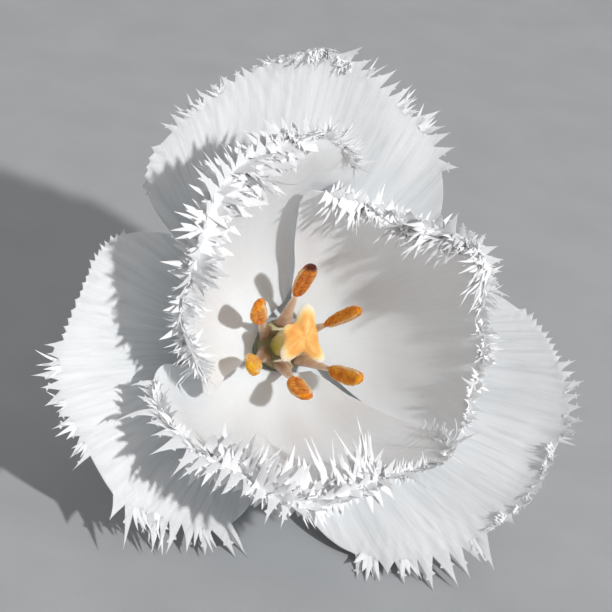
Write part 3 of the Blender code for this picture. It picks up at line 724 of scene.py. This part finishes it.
def shapePiece(piece, node, finish, points, values):
    piece.data.vertices.foreach_set("co", points.astype(np.float32).ravel())
    setValues(piece.data, values)
    piece.data.update()
    takeUp(piece)
    bpy.ops.object.mode_set(mode="EDIT")
    bpy.ops.mesh.select_all(action="SELECT")
    bpy.ops.mesh.normals_make_consistent(inside=False)
    bpy.ops.object.mode_set(mode="OBJECT")
    bpy.ops.object.shade_smooth_by_angle(angle=radians(60))
    finishPiece(piece, node, finish)


# Pollen-covered anther: dry, matt, grainy orange, its sacs' split walls paler and smoother.
def antherMaterial():
    finish, add, shader = newMaterial("tulip pollen", {
        "Roughness": 0.8, "Specular IOR Level": 0.3, "Sheen Weight": 0.15,
        "Subsurface Weight": 0.12, "Subsurface Scale": 0.0004,
        "Subsurface Radius": (1, 0.45, 0.1),
    })
    place = add("TexCoord").outputs["Object"]
    # pollen grains are 0.05 mm, drawn as clumps 0.2 mm wide
    clumps = add("TexVoronoi", {"Scale": 4600}, {"Vector": place})
    patches = add("TexNoise", {"Scale": 900, "Detail": 4}, {"Vector": place})
    blend = add("Math", {"operation": "MULTIPLY_ADD", 1: 0.45}, {0: clumps, 2: patches})
    # a value of each anther's own shifts its pollen toward yellow, and below zero toward deeper
    # orange
    ripe, wall, tip = (add("Attribute", {"attribute_name": name}).outputs["Fac"]
                       for name in ("ripe", "wall", "tip"))
    toned = add("Math", {"operation": "SUBTRACT"}, {0: blend, 1: ripe})
    pollen = add("ValToRGB", {"stops": ((0.42, "#FFC830"), (0.6, "#FFA200"),
                                        (0.76, "#F28600"), (0.92, "#CC6600"))}, {"Fac": toned})
    walled = add("Mix", {"data_type": "RGBA", 7: hexColour("#FFD9A0")}, {0: wall, 6: pollen})
    tipped = add("Mix", {"data_type": "RGBA", 7: hexColour("#5A1A0A")}, {0: tip, 6: walled})
    gloss = add("MapRange", {"To Min": 0.85, "To Max": 0.5}, {"Value": wall})
    grains = add("Bump", {"Strength": 0.8, "Distance": 0.00025}, {"Height": clumps})
    feed(shader, {"Base Color": tipped, "Roughness": gloss, "Normal": grains})
    return finish


# Soft parts of the heart: a mottled shade, shifted by a value that the mesh carries, over the
# skin's relief.
softTissue = {
    # a juicy, half-clear stalk, brownish pink over cream, darker at its foot
    "filament": {
        "shader": {"Roughness": 0.4, "Subsurface Weight": 0.5, "Subsurface Scale": 0.0012,
                   "Subsurface Radius": (1, 0.7, 0.5)},
        "mottle": {"Scale": 700, "Detail": 5}, "share": 0.7, "shift": "along",
        "stops": ((0.22, "#8C685A"), (0.36, "#BE9A88"), (0.6, "#DABCA4"), (0.95, "#EAD4BE")),
        "relief": {"Strength": 0.3, "Distance": 0.0002},
    },
    # smooth, waxy, half-clear yellow green, greener along its three rounded corners
    "ovary": {
        "shader": {"Roughness": 0.38, "Coat Weight": 0.1, "Subsurface Weight": 0.4,
                   "Subsurface Scale": 0.0012, "Subsurface Radius": (1, 0.9, 0.35)},
        "mottle": {"Scale": 500, "Detail": 4}, "share": 0.35, "shift": "corner",
        "stops": ((0.15, "#EAD6A0"), (0.5, "#D6C070"), (0.95, "#B0A634")),
        "relief": {"Strength": 0.2, "Distance": 0.0001},
    },
    # velvety with tiny hairs, peach to cream, nearly white at the tips of its lobes; the hairs
    # are 0.05 mm in life, drawn 0.25 mm
    "stigma": {
        "shader": {"Roughness": 0.45, "Sheen Weight": 0.3, "Subsurface Weight": 0.3,
                   "Subsurface Scale": 0.001, "Subsurface Radius": (1, 0.75, 0.4)},
        "mottle": {"Scale": 420, "Detail": 3}, "share": 0.4, "shift": "pale",
        "stops": ((0.12, "#F9A84E"), (0.3, "#FFC870"), (0.5, "#FFE09A"), (0.85, "#FFF5EA")),
        "hairs": {"Scale": 4200, "Detail": 1},
        "relief": {"Strength": 0.3, "Distance": 0.00015},
    },
}


def tissueMaterial(part):
    tissue = softTissue[part]
    finish, add, shader = newMaterial("tulip " + part, tissue["shader"])
    place = add("TexCoord").outputs["Object"]
    mottle = add("TexNoise", tissue["mottle"], {"Vector": place})
    shift = add("Attribute", {"attribute_name": tissue["shift"]}).outputs["Fac"]
    mixed = add("Math", {"operation": "MULTIPLY_ADD", 1: tissue["share"]}, {0: mottle, 2: shift})
    shade = add("ValToRGB", {"stops": tissue["stops"]}, {"Fac": mixed})
    skin = mottle
    if "hairs" in tissue:
        skin = add("TexNoise", tissue["hairs"], {"Vector": place})
    relief = add("Bump", tissue["relief"], {"Height": skin})
    feed(shader, {"Base Color": shade, "Normal": relief})
    return finish


# Stamens, clockwise from the top: the anther's azimuth, distance from the axis, length and
# width, how its open face is turned about its own length, how dark its tip is and how yellow
# its pollen.
stamens = {
    1: (88, 10.8, 12, 3.3, 25, 1, -0.08), 2: (28, 8.8, 11.5, 2.5, -30, 0.1, 0.05),
    3: (-38, 10.4, 11, 3.3, 12, 0, 0.08), 4: (267, 8.9, 10.5, 4, -12, 0, 0),
    5: (207, 10.2, 11, 4.1, 8, 0, 0.2), 6: (148, 9.2, 10.5, 4.2, -8, 0, 0.04),
}
stamenForm = {
    "footRadius": 3.95, "footHeight": 1, "thickness": (0.95, 0.85, 0.45),
    "footSpread": 0.85, "footEnd": 0.55, "endDiscs": (0.03, 0.045), "filamentTop": 10.2,
    "gap": 0.3, "lean": 22, "depth": 2.3, "blunt": 2.7, "trough": 0.28, "troughWidth": 22,
    "rim": 0.14, "rimWidth": 11,
    # degrees from the middle of the open face to its edge and to the slit between the sacs
    "faceWidth": 68, "faceFade": 25, "slitPlace": 115, "slitWidth": 9, "slit": 0.22,
    "taper": (0.86, 1.06), "bend": 0.35, "grain": 0.3, "grainSize": 0.55,
    "tipStart": 0.86, "tipFade": 0.12,
    # of the filament: how far it bows out, its faint ribs and the points of its path
    "bulge": 0.35, "ribs": 0.05, "pathPoints": 12,
}
mouthWay = poseTurn.T @ np.array(facing.col[2])


def makeStamen(number, azimuth, distance, length, width, facingTurn, darkTip, ripe):
    form = stamenForm
    lean = radians(form["lean"])
    azimuth = radians(azimuth)
    across = aroundAxis(azimuth + pi / 2, 1, 0)
    low = distance - 0.5 * length * sin(lean)
    foot = aroundAxis(azimuth, form["footRadius"], form["footHeight"])
    top = aroundAxis(azimuth, low, form["filamentTop"])
    node = f"filament_{number}"
    piece, share, angle = ballOfRings(node, 32, 56)
    bulge = aroundAxis(azimuth, form["bulge"], 0)
    path = [foot + (top - foot) * f + bulge * sin(pi * f)
            for f in np.linspace(0, 1, form["pathPoints"])]
    at, lip = endDiscs(share, *form["endDiscs"])
    radius = smoothBetween((0, 0.5, 1), form["thickness"], at) * lip
    radius = radius * (1 + form["ribs"] * np.cos(5 * angle) * (1 - at))
    # its foot is broad and flat, like the foot of a real tulip's filament
    broad = 1 + form["footSpread"] * clamp(1 - at / form["footEnd"]) ** 1.5
    points = tubeAlong(path, at, angle, radius * broad, radius, across)
    shapePiece(piece, node, filamentFinish, toRow(points), {"along": at * 0.5})

    node = f"anther_{number}"
    piece, share, angle = ballOfRings(node, 72, 64)
    start = aroundAxis(azimuth, low, form["filamentTop"] + form["gap"])
    way = aroundAxis(azimuth, sin(lean), cos(lean))
    f = (1 - np.cos(pi * share)) / 2
    blunt = form["blunt"]
    wide = (1 - np.abs(2 * f - 1) ** blunt) ** (1 / blunt) * np.interp(f, (0, 1), form["taper"])
    front = np.cross(way, across)
    # the open face looks out of the bloom's mouth
    turn = atan2(front @ mouthWay, across @ mouthWay) - pi / 2
    turn += radians(facingTurn)
    # how far round each point is from the middle of the open face
    off = np.degrees(np.abs((angle - turn - pi / 2 + pi) % (2 * pi) - pi))
    ends = clamp(np.sin(pi * f) * 2.2)
    face = clamp((form["faceWidth"] - off) / form["faceFade"])
    trough = np.exp(-(off / form["troughWidth"]) ** 2) * form["trough"] * ends
    rim = np.exp(-((off - form["faceWidth"]) / form["rimWidth"]) ** 2)
    slit = np.exp(-((off - form["slitPlace"]) / form["slitWidth"]) ** 2) * form["slit"] * ends
    grow = 1 + form["rim"] * rim * ends - trough - slit
    half, deep = width / 2, form["depth"] / 2
    bend = form["bend"] * np.sin(pi * f)
    points = start + np.outer(f * length, way) \
        + np.outer(half * wide * grow * np.cos(angle), across) \
        + np.outer(deep * wide * grow * np.sin(angle) - bend, front)
    wall = clamp(rim * 1.2 * clamp(ends * 1.5) * (1 - 0.6 * face))
    tip = darkTip * clamp((f - form["tipStart"]) / form["tipFade"])
    shapePiece(piece, node, antherFinish, toRow(points),
               {"wall": wall, "tip": tip, "ripe": np.full(len(points), ripe)})
    grains = piece.modifiers.new("pollen", "DISPLACE")
    grains.texture = pollenGrain
    grains.texture_coords = "LOCAL"
    grains.strength = form["grain"] * mm
    bpy.ops.object.modifier_apply(modifier=grains.name)


filamentFinish = tissueMaterial("filament")
antherFinish = antherMaterial()
pollenGrain = bpy.data.textures.new("pollenGrain", "CLOUDS")
pollenGrain.noise_scale = stamenForm["grainSize"] * mm
for number, values in stamens.items():
    makeStamen(number, *values)
print("stamens", len(stamens))


pistil = {
    "foot": 0.8, "endDiscs": (0.02, 0.035), "ovaryRadius": 2.7, "ovaryHeight": 13.6,
    "lobing": 0.05, "groove": 0.05, "ovaryTurn": 76,
    "profileAt": (0, 0.06, 0.15, 0.3, 0.5, 0.7, 0.85, 0.95, 1),
    "profile": (0.86, 0.95, 1, 1.03, 1.05, 1.02, 0.93, 0.8, 0.68),
    "stigmaFoot": 14.7, "stigmaHeight": 3, "stigmaCore": 3.4, "doming": 0.25,
    # the three lobes from above: azimuth, distance of the edge from the axis
    "stigmaEdge": ((0, 2.9), (30, 3.1), (56, 4.2), (68, 5.9), (76, 6.5), (86, 6.6), (96, 5.6),
                   (108, 3.9), (122, 3.4), (140, 4.1), (155, 4.2), (172, 3.5), (195, 3.9),
                   (212, 5.1), (228, 5.6), (241, 4.3), (254, 2.9), (266, 2.4), (280, 2.8),
                   (296, 4.3), (306, 5.4), (318, 5.5), (330, 4.2), (345, 3.1), (360, 2.9)),
    # how far the arms rise above the hollows between them
    "armRise": 0.55, "hollow": 0.6, "wrinkles": (0.12, 0.1),
}

ovary, share, angle = ballOfRings("ovary", 96, 90)
at, lip = endDiscs(share, *pistil["endDiscs"])
lobe = np.cos(3 * (angle - radians(pistil["ovaryTurn"])))
radius = pistil["ovaryRadius"] * smoothBetween(pistil["profileAt"], pistil["profile"], at)
groove = pistil["groove"] * np.exp(-((lobe + 1) / 0.25) ** 2)
radius = radius * lip * (1 + pistil["lobing"] * lobe - groove)
points = aroundAxis(angle, radius, pistil["foot"] + at * pistil["ovaryHeight"])
shapePiece(ovary, "ovary", tissueMaterial("ovary"), toRow(points),
           {"corner": 0.35 + 0.3 * lobe})

stigma, share, angle = ballOfRings("stigma", 128, 96)
flat = np.sin(pi * share)
edgeAt, edges = zip(*pistil["stigmaEdge"])
lobe = smoothBetween(edgeAt, edges, np.degrees(angle) % 360) - pistil["stigmaCore"]
radius = pistil["stigmaCore"] + lobe * flat
rise = 1 - np.cos(pi * share) * (1 + pistil["doming"] * lobe * flat / pistil["stigmaCore"])
# on top a ridge runs out along each arm, with a fold of hollow beside it
upper = clamp(share * 2 - 1) * flat
crest = np.where(lobe > 0, pistil["armRise"] * lobe / 3, pistil["hollow"] * lobe)
wide, fine = pistil["wrinkles"]
wrinkle = wide * np.sin(7 * angle + 5 * flat) + fine * np.sin(11 * angle - 9 * flat)
height = pistil["stigmaFoot"] + rise * pistil["stigmaHeight"] / 2 + upper * (crest + wrinkle)
points = aroundAxis(angle, radius * flat, height)
shapePiece(stigma, "stigma", tissueMaterial("stigma"), toRow(points),
           {"pale": clamp((flat - 0.75) * 4) * clamp(lobe / 1.6) * 0.7})
print("pistil")


# Tulip stalk: smooth, firm, green under a thin greyish bloom of wax, with faint long lines.
def stemMaterial():
    finish, add, shader = newMaterial("waxy tulip stem", {
        "Roughness": 0.42, "Coat Weight": 0.15, "Coat Roughness": 0.4,
        "Subsurface Weight": 0.15, "Subsurface Scale": 0.0015,
        "Subsurface Radius": (0.7, 1, 0.3),
    })
    place = add("UVMap", {"uv_map": "stemMap"})
    body = add("TexCoord").outputs["Object"]
    # lines about 0.5 mm apart round the stalk
    stretched = add("Mapping", {"Scale": (42, 9, 1)}, {"Vector": place})
    lines = add("TexNoise", {"Scale": 1, "Detail": 4}, {"Vector": stretched})
    shade = add("ValToRGB", {"stops": ((0.3, "#5E7F3C"), (0.55, "#75964F"),
                                       (0.8, "#8DA968"))}, {"Fac": lines})
    wax = add("TexNoise", {"Scale": 90, "Detail": 6}, {"Vector": body})
    waxed = add("MapRange", {"From Min": 0.45, "From Max": 0.75, "To Max": 0.5}, {"Value": wax})
    bloomed = add("Mix", {"data_type": "RGBA", 7: hexColour("#A9BBA0")}, {0: waxed, 6: shade})
    flesh = add("Attribute", {"attribute_name": "flesh"}).outputs["Fac"]
    cut = add("Mix", {"data_type": "RGBA", 7: hexColour("#B0A67C")}, {0: flesh, 6: bloomed})
    relief = add("Bump", {"Strength": 0.3, "Distance": 0.0002}, {"Height": lines})
    feed(shader, {"Base Color": cut, "Normal": relief})
    return finish


# The stalk leaves the receptacle along the bloom's axis and bends down to the surface.
stalk = {
    "radius": 3.4, "length": 132, "neck": 9, "top": 0.5, "heading": 97, "bendSteps": 96,
    "receptacle": ((0, 4.5), (-0.4, 4.9), (-1.7, 5), (-3.7, 4.7), (-6, 4.1)),
    "endDiscs": (0.008, 0.009), "flute": 0.012,
    # pale flesh shows on the cut and fades out down the top of the receptacle, mm
    "fleshEnd": 4.8, "fleshFade": 2, "mapTurns": 6, "floorClearance": 0.02,
}
axis = Vector(poseTurn[:, 2])
top = Vector(posture["place"]) + axis * stalk["top"]
path = [top + axis * along for along, _ in stalk["receptacle"]]
widths = [width for _, width in stalk["receptacle"]]
spot = top - axis * stalk["neck"]
heading = radians(stalk["heading"])
alongFloor = Vector((cos(heading), sin(heading), 0))
turn = (-axis).rotation_difference(alongFloor)
steps = stalk["bendSteps"]
ways = [Quaternion().slerp(turn, (k + 0.5) / steps) @ -axis for k in range(steps)]
drop = -sum(way.z for way in ways) / steps
bendLength = (spot.z - stalk["radius"]) / drop
path.append(spot.copy())
for way in ways:
    spot += way * bendLength / steps
    path.append(spot.copy())
path.append(spot + alongFloor * (stalk["length"] - stalk["neck"] - bendLength))
widths += [stalk["radius"]] * (len(path) - len(widths))

stem, share, angle = ballOfRings("stem", 64, 260)
at, lip = endDiscs(share, *stalk["endDiscs"])
run = runOf(path)
radius = np.interp(at * run[-1], run, widths)
flutes = 1 + stalk["flute"] * np.cos(7 * angle + 3 * np.sin(9 * at))
radius = radius * (lip ** 0.5) * flutes
points = tubeAlong(path, at, angle, radius, radius, (1, 0, 0))
points[:, 2] = np.maximum(points[:, 2], stalk["floorClearance"])
# the map goes up and down round the stalk so that it closes without a seam
setMap(stem.data, "stemMap",
       np.stack([np.abs(angle) / pi, at * stalk["mapTurns"]], -1))
flesh = clamp(1 - lip * 1.02) + clamp((stalk["fleshEnd"] - at * run[-1]) / stalk["fleshFade"])
shapePiece(stem, "stem", stemMaterial(), points * mm, {"flesh": clamp(flesh)})
print("stem")

# The photograph's view: the camera looks down into the bloom's open mouth.
cameraSet = {"lens": 170.28, "distance": 550, "aimAcross": 4.6, "aimOver": 7.4}
aim = Vector(posture["place"]) + facing.col[0] * cameraSet["aimAcross"] \
    + facing.col[1] * cameraSet["aimOver"]
camera = addObject("camera", bpy.data.cameras.new("camera"))
camera.matrix_world = Matrix.Translation((aim + facing.col[2] * cameraSet["distance"]) * mm) \
    @ facing.to_4x4()
camera.data.lens = cameraSet["lens"]
camera.data.clip_start = 0.01
scene.camera = camera

# A pale matt table top under plain studio light: a small key lamp far off to the right, whose
# crisp shadows show the fringe, with wide soft lamps and a pale room to fill them.
deselectAll()
bpy.ops.mesh.primitive_plane_add(size=6, location=(0, 0, 0))
floor = bpy.context.object
floor.name = "floor"
floorFinish, add, shader = newMaterial("pale matt card", {"Roughness": 0.85})
body = add("TexCoord").outputs["Object"]
grain = add("TexNoise", {"Scale": 60, "Detail": 3}, {"Vector": body})
paper = add("ValToRGB", {"stops": ((0.3, "#AEB0B2"), (0.7, "#B4B6B8"))}, {"Fac": grain})
feed(shader, {"Base Color": paper})
floor.data.materials.append(floorFinish)

# name: (direction in the view frame, distance and size in m, power in W)
lamps = {
    "key": ((0.56, 0.1, 0.82), 2.6, 0.1, 54),
    "front": ((0.3, 0.8, 0.5), 1.1, 0.9, 1.4),
    "low": ((-0.6, -0.5, 0.6), 1.2, 0.9, 0.4),
    "back": ((-0.1, 0.85, -0.45), 1.3, 0.9, 3.5),
}
for name, (way, distance, size, power) in lamps.items():
    lamp = bpy.data.lights.new(name, "AREA")
    lamp.size = size
    lamp.energy = power
    stand = addObject(name, lamp)
    direction = facing @ Vector(way).normalized()
    stand.location = aim * mm + direction * distance
    stand.rotation_euler = direction.to_track_quat("Z", "Y").to_euler()

world = bpy.data.worlds.new("studio")
scene.world = world
world.use_nodes = True
room = world.node_tree.nodes["Background"]
room.inputs["Color"].default_value = hexColour("#DEDEDE")
room.inputs["Strength"].default_value = 0.23

# the white petals keep their own tones instead of being greyed by a film curve
scene.view_settings.view_transform = "Standard"
